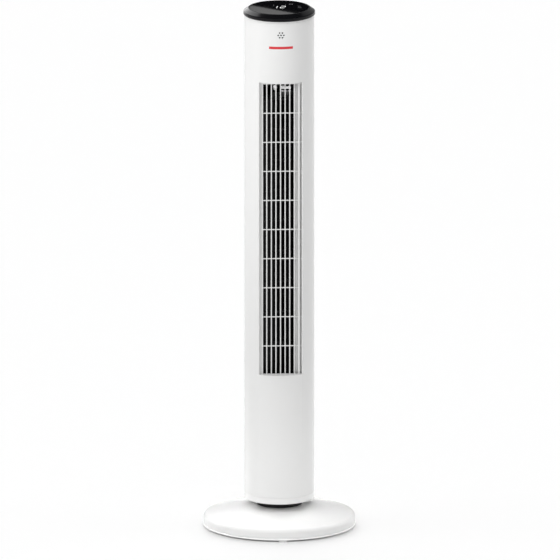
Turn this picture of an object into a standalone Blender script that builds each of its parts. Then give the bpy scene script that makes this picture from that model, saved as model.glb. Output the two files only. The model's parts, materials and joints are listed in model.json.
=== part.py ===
"""Tower fan on a round base.

The origin is the centre of the base on the floor, +Z is up and the air outlet faces -Y.
Four empties carry the pieces: the base stands still, the tower swings on it about Z, the
impeller turns about its own upright axis in the tower, and the crank drives the swing.
"""
import math

import bmesh
import bpy
from mathutils import Matrix

# ------------------------------------------------------------------ driving dimensions, in metres
GAP = 0.0003                       # parting gap between two pieces that touch
WELD = 1e-6                        # distance under which points of one piece are the same point
ROUND = 40                         # sides of the large round pieces
INNER = 24                         # sides of round pieces inside the tower and base
SMALL = 10                         # sides of the small round pieces

BASE_R = 0.1475
COVER_R = 0.1464                   # the base plate stands out under the cover as a thin lip
BASE_SHOULDER_R = 0.009            # radius of the rounded rim
BASE_RIM_TOP = 0.0234              # height at which the cover's slope would meet the rim
BASE_HUB_R = 0.045                 # flat top of the cover
BASE_TOP = 0.0425
BASE_WALL = 0.003
FOOT_COUNT = 5
FOOT_R = 0.0105
FOOT_CIRCLE_R = 0.1368
FOOT_HEIGHT = 0.0027
PLATE_TOP = 0.0062                 # base plate, seen as the thin lip under the rim
POST_R = 0.022
POST_BORE_R = 0.016
POST_TOP = 0.0720
BASE_HOLE_R = 0.030                # hole in the cover under the neck
WEIGHT_IN_R, WEIGHT_R, WEIGHT_TOP = 0.048, 0.125, 0.0145
POST_FLANGE_R = 0.042
BASE_SCREW_CIRCLE_R = 0.036
GLAND_Z = 0.0122                   # height of the cord gland at the back
NECK_R = 0.044
NECK_WALL = 0.003

SCREW_R = 0.0016                   # shank of the base and swivel screws
SCREW_HEAD_R = 0.0032
SCREW_HOLE_R = 0.0019

TOWER_R = 0.0675
TOWER_WALL = 0.0025
TOWER_BOTTOM = 0.0550
BOTTOM_CAP_TOP = 0.0667
CAP_FLOOR_TOP = 0.0580             # upper face of the bottom cap's floor, and of the thrust washer
CAP_FLOOR_HOLE_R = 0.034
SKIRT_TOP = 0.0720                 # upper edge of the bottom cap's inner skirt
SWIVEL_LOW, SWIVEL_HIGH = 0.0583, 0.0615
SWIVEL_R = 0.042
RETAINER_LOW, RETAINER_HIGH = 0.0618, 0.0645
TRIM_SKIRT_LOW = 1.0040            # lower edge of the trim ring's skirt
SHELL_TOP = 1.0096
TRIM_TOP = 1.0122
CAP_R = 0.0695
CAP_TOP = 1.0254
PANEL_R = 0.0576
SEAM_ANGLE = math.radians(95)      # from the front to the seam between the two shells

OUTLET_ANGLE = math.radians(38.5)  # half of the outlet opening
OUTLET_LOW = 0.3102
OUTLET_HIGH = 0.8897
GRILLE_FRONT = -0.0475             # the grille is flat and lies across the opening, behind the shell
GRILLE_BACK = -0.0450
GRILLE_HALF = 0.0437               # half width of its frame
GRILLE_FRAME = 0.0420              # half width inside the frame
GRILLE_TOP = 0.8844                # lower edge of its upper frame
LEDGE = 0.002                      # thickness of the ledges above and below the grille
GRILLE_MARGIN = 0.006              # its frame reaches this far above and below the opening
BAR_PITCH = 0.00887
BAR_COUNT = 9
BAR_WIDTH = 0.0024
OUTER_BAR = 0.0036                 # width of the first and the last bar
CROSS_BARS = 9
CROSS_PITCH = 0.0579
CROSS_BAR = 0.0028
TOP_CROSS_BAR = 0.8267             # height of the highest cross bar

SLOT_COLUMNS = 13                  # intake slots in the rear shell
SLOT_PITCH = math.radians(9.5)
SLOT_WIDTH = math.radians(5.0)
SLOT_ROWS = 5
SLOT_RIB = 0.006
REAR_SPLIT = 0.920                 # parting line between the rear shell and the grip shell
GRIP_ANGLE = math.radians(35)      # half of the grip opening
GRIP_LOW = 0.941
GRIP_HIGH = 0.967

SWING_DEG = 35.0                   # swing of the tower to each side
CRANK_RATIO = 2.75                 # turn of the crank for each unit of swing
CRANK_OFFSET = 0.028               # crank axis, behind the tower's axis
CRANK_THROW = 0.018
CRANK_PIN_R = 0.0028
ARM_BOTTOM = 0.0723
ARM_THICKNESS = 0.003
ARM_SLOT_HALF = 0.0040             # half width of the slot: it leaves the pin 1.2 mm to each side

IMPELLER_X = -0.008
IMPELLER_Y = 0.008
IMPELLER_R = 0.040
BLADE_DEPTH = 0.008
BLADES = 16
BLADE_LEAN = math.radians(8)       # the blade's inner edge lags its outer edge
IMPELLER_SEGMENTS = 4
IMPELLER_LOW = 0.3078
IMPELLER_HIGH = 0.8490
SHAFT_R = 0.004
END_PIN_R = 0.003

DUCT_WALL = 0.002
DUCT_FLOOR = 0.296
DUCT_CEILING = 0.897
PLATE_THICKNESS = 0.003            # duct floor and ceiling
TONGUE_TIP = (0.0268, -0.0210)     # where the right duct wall comes closest to the impeller
SCROLL_GAP_REAR = 0.003            # impeller to scroll at the rear end of the scroll
SCROLL_GAP_FRONT = 0.010

SCROLL_LIP = ((-0.0374, -0.0422), (-0.0350, -0.0424))
TONGUE_FRONT = ((0.0366, -0.0436), (0.0310, -0.0320))
BEARING_LOW, BEARING_HIGH = 0.8555, 0.8585
FLANGE_THICKNESS = 0.0014          # flange of the bearing's retainer
RIB_TOP = 0.8668
HUB_TOP = 0.8690

MOTOR_R = 0.037
MOTOR_LOW = 0.220
MOTOR_SPLIT = 0.254
MOTOR_HIGH = 0.288

SPEAKER_Z = 0.986
SPEAKER_PITCH = 0.0054
SPEAKER_HOLE_R = 0.0012


# ------------------------------------------------------------------ materials
def material(name, colour, roughness, metallic=0.0):
    """A Principled material; the colour is linear RGB."""
    made = bpy.data.materials.new(name)
    made.use_nodes = True
    shader = made.node_tree.nodes["Principled BSDF"]
    shader.inputs["Base Color"].default_value = (*colour, 1.0)
    shader.inputs["Roughness"].default_value = roughness
    shader.inputs["Metallic"].default_value = metallic
    return made


def make_materials():
    return {
        "white": material("white_plastic", (0.83, 0.83, 0.82), 0.38),
        "black": material("black_plastic", (0.012, 0.012, 0.013), 0.45),
        "gloss": material("gloss_black", (0.008, 0.008, 0.009), 0.12),
        "rubber": material("rubber", (0.02, 0.02, 0.02), 0.8),
        "pad": material("white_rubber", (0.72, 0.72, 0.71), 0.7),
        "steel": material("steel", (0.55, 0.55, 0.56), 0.35, 1.0),
        "lamination": material("lamination", (0.28, 0.28, 0.30), 0.5, 1.0),
        "acetal": material("acetal", (0.70, 0.69, 0.65), 0.45),
        "bronze": material("bronze", (0.45, 0.28, 0.12), 0.35, 1.0),
        "board": material("board", (0.02, 0.14, 0.06), 0.5),
        "shell": material("capacitor_case", (0.10, 0.11, 0.13), 0.4),
    }


# ------------------------------------------------------------------ building blocks
def add_piece(name, mesh_bm, look, parent, location=(0, 0, 0), turn=None):
    """Turn a bmesh into a named object with its material, under its parent empty."""
    bmesh.ops.recalc_face_normals(mesh_bm, faces=mesh_bm.faces)
    mesh = bpy.data.meshes.new(name)
    mesh_bm.to_mesh(mesh)
    mesh_bm.free()
    mesh.materials.append(look)
    mesh.shade_smooth()
    mesh.set_sharp_from_angle(angle=math.radians(30))
    piece = bpy.data.objects.new(name, mesh)
    bpy.context.collection.objects.link(piece)
    piece.parent = parent
    piece.location = location
    if turn is not None:
        piece.rotation_euler = turn
    return piece


def axis_empty(name, parent=None, location=(0, 0, 0)):
    empty = bpy.data.objects.new(name, None)
    bpy.context.collection.objects.link(empty)
    empty.parent = parent
    empty.location = location
    return empty


def turned(outline, sides=ROUND):
    """Turn an outline of (radius, height) points about the upright axis.

    The outline is closed, or it runs from the axis to the axis.
    """
    made = bmesh.new()
    verts = [made.verts.new((r, 0.0, z)) for r, z in outline]
    pairs = zip(verts, verts[1:] + verts[:1])
    edges = [made.edges.new((a, b)) for a, b in pairs if a.co.x > WELD or b.co.x > WELD]
    bmesh.ops.spin(made, geom=verts + edges, cent=(0, 0, 0), axis=(0, 0, 1),
                   angle=math.tau, steps=sides, use_merge=True)
    bmesh.ops.remove_doubles(made, verts=made.verts, dist=WELD)
    return made


def ring(inner, outer, low, high, sides=ROUND):
    return turned([(outer, low), (outer, high), (inner, high), (inner, low)], sides)


def disc(outer, low, high, sides=ROUND):
    return turned([(0, low), (outer, low), (outer, high), (0, high)], sides)


def box(low, high):
    made = bmesh.new()
    bmesh.ops.create_cube(made, size=1.0)
    centre = [(a + b) / 2 for a, b in zip(low, high)]
    size = [b - a for a, b in zip(low, high)]
    shape = Matrix.Translation(centre) @ Matrix.Diagonal((*size, 1.0))
    bmesh.ops.transform(made, matrix=shape, verts=made.verts)
    return made


def extruded(outline, low, high):
    """Extrude a closed outline of (x, y) points between two heights."""
    made = bmesh.new()
    face = made.faces.new([made.verts.new((x, y, low)) for x, y in outline])
    top = bmesh.ops.extrude_face_region(made, geom=[face])
    lifted = [item for item in top["geom"] if isinstance(item, bmesh.types.BMVert)]
    bmesh.ops.translate(made, verts=lifted, vec=(0, 0, high - low))
    return made


def strip_outline(path, thickness):
    """The closed outline of a wall of even thickness along a path, to the path's right side."""
    back = []
    for i, (x, y) in enumerate(path):
        before = path[max(i - 1, 0)]
        after = path[min(i + 1, len(path) - 1)]
        dx, dy = after[0] - before[0], after[1] - before[1]
        length = math.hypot(dx, dy)
        back.append((x + dy / length * thickness, y - dx / length * thickness))
    return list(path) + back[::-1]


def arc(cx, cy, radius, start, stop, steps):
    """Points on an arc, angles in radians from +X towards +Y."""
    span = [start + (stop - start) * i / steps for i in range(steps + 1)]
    return [(cx + radius * math.cos(a), cy + radius * math.sin(a)) for a in span]


def grid(marks, heights, near_point, far_point, is_open, closed=False):
    """A wall cut into cells by marks and heights; is_open(column, row) leaves a cell out.

    near_point and far_point place a mark and a height on the wall's two faces.
    """
    made = bmesh.new()
    columns = len(marks) if closed else len(marks) - 1
    rows = len(heights) - 1
    near = [[made.verts.new(near_point(mark, z)) for z in heights] for mark in marks]
    far = [[made.verts.new(far_point(mark, z)) for z in heights] for mark in marks]

    def solid(column, row):
        if closed:
            column %= columns
        return 0 <= column < columns and 0 <= row < rows and not is_open(column, row)

    for i in range(columns):
        k = (i + 1) % len(marks)
        for j in range(rows):
            if not solid(i, j):
                continue
            made.faces.new((far[i][j], far[k][j], far[k][j + 1], far[i][j + 1]))
            made.faces.new((near[i][j], near[i][j + 1], near[k][j + 1], near[k][j]))
            sides = (((i - 1, j), (i, j), (i, j + 1)), ((i + 1, j), (k, j + 1), (k, j)),
                     ((i, j - 1), (k, j), (i, j)), ((i, j + 1), (i, j + 1), (k, j + 1)))
            for neighbour, start, stop in sides:
                if not solid(*neighbour):
                    made.faces.new((far[start[0]][start[1]], far[stop[0]][stop[1]],
                                    near[stop[0]][stop[1]], near[start[0]][start[1]]))
    loose = [v for v in made.verts if not v.link_faces]
    bmesh.ops.delete(made, geom=loose, context="VERTS")
    return made


def on_cylinder(radius, lean=0.0):
    """Places on a cylinder; angles run from the front (-Y) towards +X."""
    return lambda angle, z: (radius * math.sin(angle + lean), -radius * math.cos(angle + lean), z)


def curved_grid(angles, heights, inner, outer, is_open, lean=0.0, closed=False):
    """A cylindrical wall cut into cells. A lean turns the inner surface against the outer one."""
    return grid(angles, heights, on_cylinder(inner, lean), on_cylinder(outer), is_open, closed)


def spread(low, high, cells):
    """Even divisions from low to high, both ends included."""
    return [low + (high - low) * i / cells for i in range(cells + 1)]


def joined(*parts):
    """Several separate bmeshes in one, for a cutter."""
    made = bmesh.new()
    for part in parts:
        mesh = bpy.data.meshes.new("part")
        part.to_mesh(mesh)
        part.free()
        made.from_mesh(mesh)
        bpy.data.meshes.remove(mesh)
    return made


def moved(mesh_bm, x=0.0, y=0.0, z=0.0):
    bmesh.ops.translate(mesh_bm, verts=mesh_bm.verts, vec=(x, y, z))
    return mesh_bm


def tilted(mesh_bm, matrix):
    bmesh.ops.transform(mesh_bm, matrix=matrix, verts=mesh_bm.verts)
    return mesh_bm


def combine(piece, tool_bm, operation):
    """Add to or cut from a piece with a hidden helper."""
    bmesh.ops.recalc_face_normals(tool_bm, faces=tool_bm.faces)
    mesh = bpy.data.meshes.new(piece.name + "_tool")
    tool_bm.to_mesh(mesh)
    tool_bm.free()
    tool = bpy.data.objects.new(piece.name + "_tool", mesh)
    bpy.context.collection.objects.link(tool)
    tool.parent = piece.parent
    tool.hide_render = True
    tool.display_type = "WIRE"
    step = piece.modifiers.new(operation.lower(), "BOOLEAN")
    step.operation = operation
    step.solver = "EXACT"
    step.object = tool


def on_circle(count, radius, start=0.0):
    """Places spread evenly on a circle; the first is at the front, turned by start."""
    turns = [start + math.tau * i / count for i in range(count)]
    return [(radius * math.sin(a), -radius * math.cos(a)) for a in turns]


def screw(shank_r, head_r, tip, seat, top):
    """An upright screw, from its tip up to the seat of its head and the head's top."""
    outline = [(0, tip), (shank_r, tip), (shank_r, seat), (head_r, seat), (head_r, top), (0, top)]
    return turned(outline, SMALL)


# ------------------------------------------------------------------ the base
def base_outline():
    """Outer half section of the base cover, from the rim's lower edge to the flat top."""
    slope = math.atan2(BASE_TOP - BASE_RIM_TOP, COVER_R - BASE_HUB_R)
    reach = BASE_SHOULDER_R * math.tan((math.pi / 2 - slope) / 2)
    centre_r = COVER_R - BASE_SHOULDER_R
    centre_z = BASE_RIM_TOP - reach
    shoulder = arc(centre_r, centre_z, BASE_SHOULDER_R, 0.0, math.pi / 2 - slope, 4)
    return [(COVER_R, PLATE_TOP + GAP)] + shoulder + [(BASE_HUB_R, BASE_TOP)]


def make_base_cover(looks, base):
    outer = base_outline()
    inner = [(r - BASE_WALL, z - BASE_WALL) for r, z in outer[1::2]]
    foot = [(COVER_R - BASE_WALL, PLATE_TOP + GAP)]
    rim = [(BASE_HOLE_R, BASE_TOP), (BASE_HOLE_R, BASE_TOP - BASE_WALL)]
    cover = add_piece("base_cover", turned(outer + rim + inner[::-1] + foot), looks["white"], base)
    cut = tilted(disc(0.0045, 0.0, 0.012, 16), Matrix.Rotation(-math.pi / 2, 4, "X"))
    combine(cover, moved(cut, y=COVER_R - 0.009, z=GLAND_Z), "DIFFERENCE")
    gland = turned([(0.0028, 0.0), (0.0054, 0.0), (0.0054, 0.0020), (0.0042, 0.0020), (0.0042, 0.0072),
                    (0.0028, 0.0072)], 16)
    place = (0, COVER_R - 0.0076, GLAND_Z)
    add_piece("cord_gland", gland, looks["rubber"], base, place, (-math.pi / 2, 0, 0))


def make_base_inside(looks, base):
    screw_circle = on_circle(3, BASE_SCREW_CIRCLE_R)
    plate = add_piece("base_plate", ring(0.010, BASE_R, FOOT_HEIGHT + GAP, PLATE_TOP), looks["white"], base)
    holes = [moved(disc(SCREW_HOLE_R, 0.0, 0.012, SMALL), x, y) for x, y in screw_circle]
    combine(plate, joined(*holes), "DIFFERENCE")
    add_piece("base_weight", ring(WEIGHT_IN_R, WEIGHT_R, PLATE_TOP + GAP, WEIGHT_TOP, INNER),
              looks["steel"], base)
    foot = PLATE_TOP + GAP
    flange_top = foot + 0.003
    outline = [(POST_FLANGE_R, foot), (POST_FLANGE_R, flange_top), (POST_R, flange_top),
               (POST_R, POST_TOP), (POST_BORE_R, POST_TOP), (POST_BORE_R, foot)]
    post = add_piece("centre_post", turned(outline, INNER), looks["black"], base)
    holes = [moved(disc(SCREW_HOLE_R, 0.0, 0.012, SMALL), x, y) for x, y in screw_circle]
    combine(post, joined(*holes), "DIFFERENCE")
    for number, (x, y) in enumerate(screw_circle, 1):
        body = screw(SCREW_R, SCREW_HEAD_R, 0.0, 0.0068, 0.0086)
        add_piece(f"base_screw_{number}", body, looks["steel"], base, (x, y, 0.0095), (math.pi, 0, 0))
    for number, (x, y) in enumerate(on_circle(FOOT_COUNT, FOOT_CIRCLE_R), 1):
        add_piece(f"foot_{number}", disc(FOOT_R, 0.0, FOOT_HEIGHT, 20), looks["pad"], base, (x, y, 0))


def make_neck(looks, base):
    top = TOWER_BOTTOM - GAP
    bottom = BASE_TOP + GAP
    neck = turned([(NECK_R, bottom), (NECK_R, top), (POST_R + GAP, top), (POST_R + GAP, top - NECK_WALL),
                   (NECK_R - NECK_WALL, top - NECK_WALL), (NECK_R - NECK_WALL, bottom)])
    add_piece("neck_collar", neck, looks["black"], base)
    bore = POST_R + 0.0004
    washer = ring(bore, CAP_FLOOR_HOLE_R - 0.0005, TOWER_BOTTOM, CAP_FLOOR_TOP, INNER)
    add_piece("thrust_washer", washer, looks["acetal"], base)
    retaining = ring(bore, 0.032, RETAINER_LOW, RETAINER_HIGH, INNER)
    add_piece("retaining_ring", retaining, looks["steel"], base)


def make_slotted_arm(looks, base):
    """The fixed arm on the post. The crank's pin runs in its slot."""
    half = 0.009
    tip_y = 0.0575
    hub_r = 0.024
    meet = math.acos(half / hub_r)
    outline = arc(0, 0, hub_r, math.pi - meet, math.tau + meet, 28)
    outline += arc(0, tip_y - half, half, 0.0, math.pi, 10)
    arm = extruded(outline, ARM_BOTTOM, ARM_BOTTOM + ARM_THICKNESS)
    arm = add_piece("slotted_arm", arm, looks["steel"], base)
    near = pin_reach(math.radians(SWING_DEG * CRANK_RATIO))
    far = pin_reach(0.0) + 0.001
    slot = arc(0, near, ARM_SLOT_HALF, math.pi, math.tau, 8)
    slot += arc(0, far, ARM_SLOT_HALF, 0.0, math.pi, 8)
    low, high = ARM_BOTTOM - 0.001, ARM_BOTTOM + ARM_THICKNESS + 0.001
    combine(arm, joined(extruded(slot, low, high), disc(0.012, low, high, 24)), "DIFFERENCE")


def pin_reach(turn):
    """Distance of the crank's pin from the tower's axis when the crank has turned this far."""
    return math.hypot(CRANK_THROW * math.sin(turn), CRANK_OFFSET + CRANK_THROW * math.cos(turn))


# ------------------------------------------------------------------ the foot of the tower
def make_bottom_cap(looks, tower):
    skirt_r = TOWER_R - TOWER_WALL - GAP
    chamfer = 0.0013
    outline = [(CAP_FLOOR_HOLE_R, TOWER_BOTTOM), (TOWER_R - chamfer, TOWER_BOTTOM),
               (TOWER_R, TOWER_BOTTOM + chamfer), (TOWER_R, BOTTOM_CAP_TOP), (skirt_r, BOTTOM_CAP_TOP),
               (skirt_r, SKIRT_TOP), (skirt_r - TOWER_WALL, SKIRT_TOP),
               (skirt_r - TOWER_WALL, CAP_FLOOR_TOP), (CAP_FLOOR_HOLE_R, CAP_FLOOR_TOP)]
    cap = add_piece("bottom_cap", turned(outline), looks["white"], tower)
    plate = ring(POST_R + 0.0005, SWIVEL_R, SWIVEL_LOW, SWIVEL_HIGH, INNER)
    plate = add_piece("swivel_disc", plate, looks["acetal"], tower)
    places = on_circle(2, 0.038, math.pi / 2)
    for piece in (cap, plate):
        holes = [moved(disc(SCREW_HOLE_R, 0.050, 0.066, SMALL), x, y) for x, y in places]
        combine(piece, joined(*holes), "DIFFERENCE")
    for number, (x, y) in enumerate(places, 1):
        body = screw(SCREW_R, SCREW_HEAD_R, 0.0556, 0.0618, 0.0636)
        add_piece(f"swivel_screw_{number}", body, looks["steel"], tower, (x, y, 0))


def make_swing_drive(looks, tower, crank):
    """The bracket stands over the fixed arm and carries the drive motor; the crank hangs below it."""
    leg_out, leg_in, top, under = 0.049, 0.046, 0.0870, 0.0840
    hat = [(-leg_out, SWIVEL_LOW), (-leg_out, top), (leg_out, top), (leg_out, SWIVEL_LOW),
           (leg_in, SWIVEL_LOW), (leg_in, under), (-leg_in, under), (-leg_in, SWIVEL_LOW)]
    depth = 0.028
    bracket = tilted(extruded(hat, 0.0, depth), Matrix.Rotation(math.pi / 2, 4, "X"))
    bracket = add_piece("swing_bracket", moved(bracket, y=0.036), looks["steel"], tower)
    combine(bracket, moved(disc(0.006, 0.080, 0.090, 20), y=CRANK_OFFSET), "DIFFERENCE")
    motor = turned([(0, 0.0873), (0.024, 0.0873), (0.024, 0.1020), (0.022, 0.1040), (0, 0.1040)], INNER)
    add_piece("swing_motor", motor, looks["steel"], tower, (0, CRANK_OFFSET, 0))
    body = turned([(0, 0.0780), (0.0215, 0.0780), (0.0215, 0.0810), (0.0040, 0.0810), (0.0040, 0.0870),
                   (0, 0.0870)], INNER)
    turning = add_piece("crank", body, looks["acetal"], crank)
    combine(turning, moved(disc(CRANK_PIN_R, 0.0727, 0.0790, SMALL), y=CRANK_THROW), "UNION")


# ------------------------------------------------------------------ the tower's shells
def shell_angles(start, stop, marks=()):
    """Even angles of about 8 degrees between the marks."""
    stops = [start, *marks, stop]
    angles = [start]
    for low, high in zip(stops, stops[1:]):
        cells = max(1, round((high - low) / math.radians(8)))
        angles += spread(low, high, cells)[1:]
    return angles


def make_front_shell(looks, tower):
    edge = SEAM_ANGLE - GAP / TOWER_R / 2
    angles = shell_angles(-edge, edge, (-OUTLET_ANGLE, OUTLET_ANGLE))
    heights = [BOTTOM_CAP_TOP + GAP, OUTLET_LOW, OUTLET_HIGH, SHELL_TOP]

    def is_open(column, row):
        middle = (angles[column] + angles[column + 1]) / 2
        return row == 1 and abs(middle) < OUTLET_ANGLE

    wall = curved_grid(angles, heights, TOWER_R - TOWER_WALL, TOWER_R, is_open)
    front = add_piece("front_shell", wall, looks["white"], tower)
    combine(front, joined(*[speaker_hole(x, z) for x, z in speaker_holes()]), "DIFFERENCE")


def speaker_holes():
    """Seven holes: one in the middle and six around it."""
    ring_places = [(SPEAKER_PITCH * math.cos(a), SPEAKER_PITCH * math.sin(a))
                   for a in (math.tau * i / 6 for i in range(6))]
    return [(0.0, 0.0)] + ring_places


def speaker_hole(x, z):
    hole = tilted(disc(SPEAKER_HOLE_R, 0.0, 0.012, 8), Matrix.Rotation(-math.pi / 2, 4, "X"))
    return moved(hole, x=x, y=-TOWER_R - 0.004, z=SPEAKER_Z + z)


def make_rear_shell(looks, tower):
    """Upright intake slots in rows; the grip shell above it is a piece of its own."""
    half = SLOT_COLUMNS // 2
    marks = []
    for number in range(-half, half + 1):
        middle = math.pi + number * SLOT_PITCH
        marks += [middle - SLOT_WIDTH / 2, middle + SLOT_WIDTH / 2]
    edge = SEAM_ANGLE + GAP / TOWER_R / 2
    outer_cells = 3
    angles = spread(edge, marks[0], outer_cells) + marks[1:-1]
    angles += spread(marks[-1], math.tau - edge, outer_cells)
    pitch = (OUTLET_HIGH - OUTLET_LOW) / SLOT_ROWS
    heights = [BOTTOM_CAP_TOP + GAP]
    for row in range(SLOT_ROWS):
        low = OUTLET_LOW + row * pitch
        heights += [low + SLOT_RIB / 2, low + pitch - SLOT_RIB / 2]
    heights.append(REAR_SPLIT - GAP)

    def is_open(column, row):
        middle = (angles[column] + angles[column + 1]) / 2 - math.pi
        nearest = round(middle / SLOT_PITCH)
        in_slot = abs(nearest) <= half and abs(middle - nearest * SLOT_PITCH) < SLOT_WIDTH / 4
        return row % 2 == 1 and in_slot

    wall = curved_grid(angles, heights, TOWER_R - TOWER_WALL, TOWER_R, is_open)
    rear = add_piece("rear_shell", wall, looks["white"], tower)
    add_shell_screws(looks, tower, rear, 0.112, 1)


def make_grip_shell(looks, tower):
    """The upper end of the back, with the opening of the carry grip."""
    edge = SEAM_ANGLE + GAP / TOWER_R / 2
    angles = shell_angles(edge, math.tau - edge, (math.pi - GRIP_ANGLE, math.pi + GRIP_ANGLE))
    heights = [REAR_SPLIT, GRIP_LOW, GRIP_HIGH, SHELL_TOP]

    def is_open(column, row):
        middle = (angles[column] + angles[column + 1]) / 2 - math.pi
        return row == 1 and abs(middle) < GRIP_ANGLE

    wall = curved_grid(angles, heights, TOWER_R - TOWER_WALL, TOWER_R, is_open)
    shell = add_piece("grip_shell", wall, looks["white"], tower)
    add_shell_screws(looks, tower, shell, 0.990, 3)


def add_shell_screws(looks, tower, shell, height, first):
    """Two screws, one to each side of the back, in holes of the shell that they hold."""
    holes = []
    for number, side in enumerate((-1, 1), first):
        aim = math.pi / 2 + side * math.radians(72)
        turn = Matrix.Rotation(aim, 4, "Z") @ Matrix.Rotation(math.pi / 2, 4, "Y")
        holes.append(moved(tilted(disc(0.0034, 0.060, 0.072, SMALL), turn), z=height))
        body = screw(0.0015, 0.0030, 0.0540, 0.0640, 0.0664)
        add_piece(f"shell_screw_{number}", body, looks["steel"], tower, (0, 0, height), turn.to_euler())
    combine(shell, joined(*holes), "DIFFERENCE")


def make_grip_cup(looks, tower):
    """The closed pocket behind the grip opening."""
    wall = 0.0025
    outer_half = GRIP_ANGLE + math.radians(2.5)

    def sector(half, low, high, inner, outer):
        angles = spread(math.pi - half, math.pi + half, 10)
        return curved_grid(angles, [low, high], inner, outer, lambda column, row: False)

    mouth = TOWER_R - TOWER_WALL - GAP
    cup = add_piece("grip_cup", sector(outer_half, GRIP_LOW - wall, GRIP_HIGH + wall, 0.0440, mouth),
                    looks["white"], tower)
    combine(cup, sector(GRIP_ANGLE, GRIP_LOW, GRIP_HIGH, 0.0440 + wall, mouth + 0.004), "DIFFERENCE")


def make_grille(looks, tower):
    """A flat grid of upright bars and cross bars, with a ledge above and below that reaches to the shell."""
    last = BAR_COUNT // 2
    marks = [-GRILLE_HALF, -GRILLE_FRAME]
    for number in range(-last, last + 1):
        half = (OUTER_BAR if abs(number) == last else BAR_WIDTH) / 2
        marks += [number * BAR_PITCH - half, number * BAR_PITCH + half]
    marks += [GRILLE_FRAME, GRILLE_HALF]
    heights = [OUTLET_LOW - GRILLE_MARGIN, OUTLET_LOW]
    for number in reversed(range(CROSS_BARS)):
        middle = TOP_CROSS_BAR - number * CROSS_PITCH
        heights += [middle - CROSS_BAR / 2, middle + CROSS_BAR / 2]
    heights += [GRILLE_TOP, OUTLET_HIGH + GRILLE_MARGIN]

    def is_open(column, row):
        return column % 2 == 1 and row % 2 == 1

    wall = grid(marks, heights, lambda x, z: (x, GRILLE_BACK, z), lambda x, z: (x, GRILLE_FRONT, z), is_open)
    grille = add_piece("outlet_grille", wall, looks["white"], tower)
    reach = TOWER_R - TOWER_WALL - GAP
    meet = math.asin(-(GRILLE_FRONT + GRILLE_BACK) / 2 / reach)
    ledge = arc(0, 0, reach, math.pi + meet, math.tau - meet, 12)
    for low in (OUTLET_LOW - LEDGE - GAP, OUTLET_HIGH + GAP):
        combine(grille, extruded(ledge, low, low + LEDGE), "UNION")


# ------------------------------------------------------------------ the air duct
def around_impeller(radius, angle):
    """A point at a distance from the impeller's axis; the angle runs from the front towards -X."""
    return (IMPELLER_X - radius * math.sin(angle), IMPELLER_Y - radius * math.cos(angle))


def make_duct(looks, tower):
    low, high = DUCT_FLOOR + PLATE_THICKNESS + GAP, DUCT_CEILING - GAP
    rear, front = math.radians(140), math.radians(60)
    scroll = []
    for step in range(9):
        share = step / 8
        gap = SCROLL_GAP_REAR + (SCROLL_GAP_FRONT - SCROLL_GAP_REAR) * share
        scroll.append(around_impeller(IMPELLER_R + gap, rear + (front - rear) * share))
    scroll += SCROLL_LIP
    add_piece("duct_scroll", extruded(strip_outline(scroll, DUCT_WALL), low, high), looks["white"], tower)
    tongue = [*TONGUE_FRONT, TONGUE_TIP]
    tongue += [around_impeller(IMPELLER_R + 0.0045, math.radians(-a)) for a in (58, 68, 78)]
    add_piece("duct_tongue", extruded(strip_outline(tongue, DUCT_WALL), low, high), looks["white"], tower)
    reach = TOWER_R - TOWER_WALL - GAP
    floor = disc(reach, DUCT_FLOOR, DUCT_FLOOR + PLATE_THICKNESS)
    floor = add_piece("duct_floor", floor, looks["black"], tower)
    cut = disc(0.012, DUCT_FLOOR - 0.01, DUCT_FLOOR + 0.01, 24)
    combine(floor, moved(cut, IMPELLER_X, IMPELLER_Y), "DIFFERENCE")
    ceiling = disc(reach, DUCT_CEILING, DUCT_CEILING + PLATE_THICKNESS)
    add_piece("duct_ceiling", ceiling, looks["black"], tower)


def make_upper_bearing(looks, tower):
    """A black plate over the impeller holds the bush in rubber, under a white retainer."""
    place = (IMPELLER_X, IMPELLER_Y, 0)
    low, high = BEARING_LOW, BEARING_HIGH
    half = 0.018
    plate_r = 0.042
    meet = math.acos(half / plate_r)
    outline = arc(0, 0, plate_r, math.pi - meet, math.tau + meet, 36)
    outline += [(half, 0.0505), (-half, 0.0505)]
    plate = add_piece("bearing_plate", extruded(outline, low, high), looks["black"], tower, place)
    hole = disc(0.0103, low - 0.002, high + 0.002, 24)
    combine(plate, moved(hole, IMPELLER_X, IMPELLER_Y), "DIFFERENCE")
    add_piece("bearing_rubber", ring(0.0070, 0.0100, 0.8550, high, 24), looks["rubber"], tower, place)
    add_piece("bearing_bush", ring(END_PIN_R + GAP, 0.0067, 0.8545, high, 24), looks["bronze"], tower, place)
    flange = [(-0.012, -0.008), (0.034, -0.008), (0.034, 0.008), (-0.012, 0.008)]
    seat = high + GAP
    retainer = extruded(flange, seat, seat + FLANGE_THICKNESS)
    retainer = add_piece("bearing_retainer", retainer, looks["white"], tower, place)
    hub = turned([(0, seat), (0.0030, seat), (0.0040, 0.8640), (0.0030, HUB_TOP), (0, HUB_TOP)], SMALL)
    combine(retainer, moved(hub, IMPELLER_X, IMPELLER_Y), "UNION")
    rib = box((IMPELLER_X + 0.010, IMPELLER_Y - 0.003, seat),
              (IMPELLER_X + 0.034, IMPELLER_Y + 0.003, RIB_TOP))
    combine(retainer, rib, "UNION")


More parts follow.
